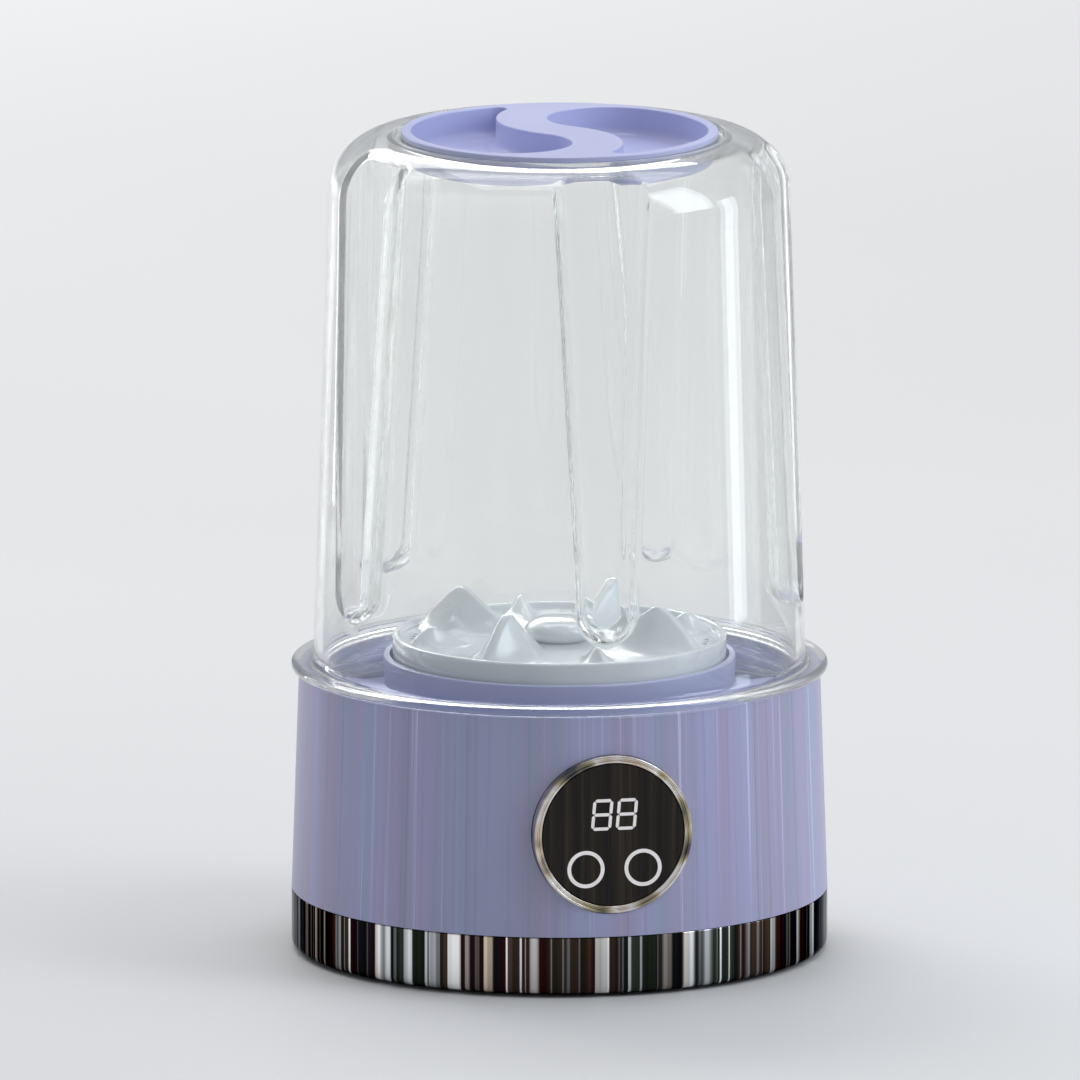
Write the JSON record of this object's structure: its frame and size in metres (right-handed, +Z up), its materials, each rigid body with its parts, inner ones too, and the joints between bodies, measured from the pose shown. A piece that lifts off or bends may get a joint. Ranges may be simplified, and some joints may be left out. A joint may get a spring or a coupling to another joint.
{
  "type": "portable mini washer",
  "caption": "Small countertop washer: a round powered base with display and finned pulsator, a clear fluted tub that screws on, and a lift-off lid with finger recesses.",
  "frame": {"origin": "on the surface it stands on, on the axis of the tub and the drive shaft", "axes": "+Z up along the tub's axis, -Y out through the middle of the display, +Y out through the charge socket"},
  "size_m": [0.168, 0.168, 0.2592],
  "materials": {
    "lavender_plastic": "glossy moulded",
    "polished_band": "mirror polished",
    "polished_bezel": "polished, slightly warm",
    "clear_plastic": "clear, polished",
    "white_plastic": "glossy moulded",
    "soft_seal": "satin silicone",
    "black_rubber": "matte",
    "black_panel": "high gloss",
    "lit_marks": "lit white",
    "grey_cover": "fine textured",
    "steel": "machined",
    "gear_plastic": "natural nylon",
    "pinion_brass": "machined",
    "circuit_board": "solder mask",
    "board_parts": "moulded",
    "magnet": "sintered",
    "winding": "enamelled wire and iron",
    "cell_wrap": "shrink wrap on steel",
    "nickel_strip": "nickel",
    "red_lead": "insulated wire",
    "grey_cable": "insulated cable"
  },
  "bodies": {
    "base": {"base_shell": "lavender_plastic", "chrome_band": "polished_band", "bottom_cover": "grey_cover", "rubber_feet": "black_rubber", "bottom_screws": "steel", "wash_well": "lavender_plastic", "shaft_seal": "black_rubber", "upper_bearing": "steel", "lower_bearing": "steel", "gear_case": "grey_cover", "gear_case_cover": "grey_cover", "gear_case_screws": "steel", "motor_can": "steel", "motor_end_cap": "grey_cover", "motor_magnets": "magnet", "motor_screws": "steel", "display_bezel": "polished_bezel", "display_lens": "black_panel", "digit_segments": "lit_marks", "touch_key_rings": "lit_marks", "display_housing": "grey_cover", "display_board": "circuit_board", "led_module": "board_parts", "display_screws": "steel", "battery_cells": "cell_wrap", "battery_tray": "grey_cover", "battery_contacts": "nickel_strip", "main_board": "circuit_board", "board_components": "board_parts", "board_screws": "steel", "charge_board": "circuit_board", "charge_socket": "steel", "charge_board_screws": "steel", "motor_leads": "red_lead", "battery_leads": "red_lead", "display_cable": "grey_cable"},
    "pulsator": {"pulsator": "white_plastic", "hub_cap": "white_plastic", "pulsator_screw": "steel", "drive_shaft": "steel", "output_gear": "gear_plastic"},
    "motor_rotor": {"motor_shaft": "steel", "rotor_core": "winding", "motor_pinion": "pinion_brass"},
    "tub_seal": {"tub_seal": "soft_seal"},
    "tub": {"tub": "clear_plastic"},
    "lid": {"lid": "lavender_plastic", "lid_gasket": "soft_seal"}
  },
  "joints": [
    {"name": "pulsator_spin", "type": "hinge", "parent": "base", "child": "pulsator", "pos_m": [0, 0, 0.09], "axis": [0, 0, 1], "continuous": true},
    {"name": "motor_spin", "type": "hinge", "parent": "base", "child": "motor_rotor", "pos_m": [0.032, 0, 0.06], "axis": [0, 0, 1], "continuous": true},
    {"name": "tub_turn", "type": "hinge", "parent": "base", "child": "tub_seal", "pos_m": [0, 0, 0.077], "axis": [0, 0, 1], "range_deg": [0, 450]},
    {"name": "tub_lift", "type": "slide", "parent": "tub_seal", "child": "tub", "axis": [0, 0, 1], "range_m": [0, 0.0151]},
    {"name": "lid_lift", "type": "slide", "parent": "tub", "child": "lid", "axis": [0, 0, 1], "range_m": [0, 0.06]}
  ],
  "couplings": [
    {"joint": "motor_spin", "follows": "pulsator_spin", "ratio": -4},
    {"joint": "tub_lift", "follows": "tub_turn", "m_per_rad": 0.0019099}
  ]
}
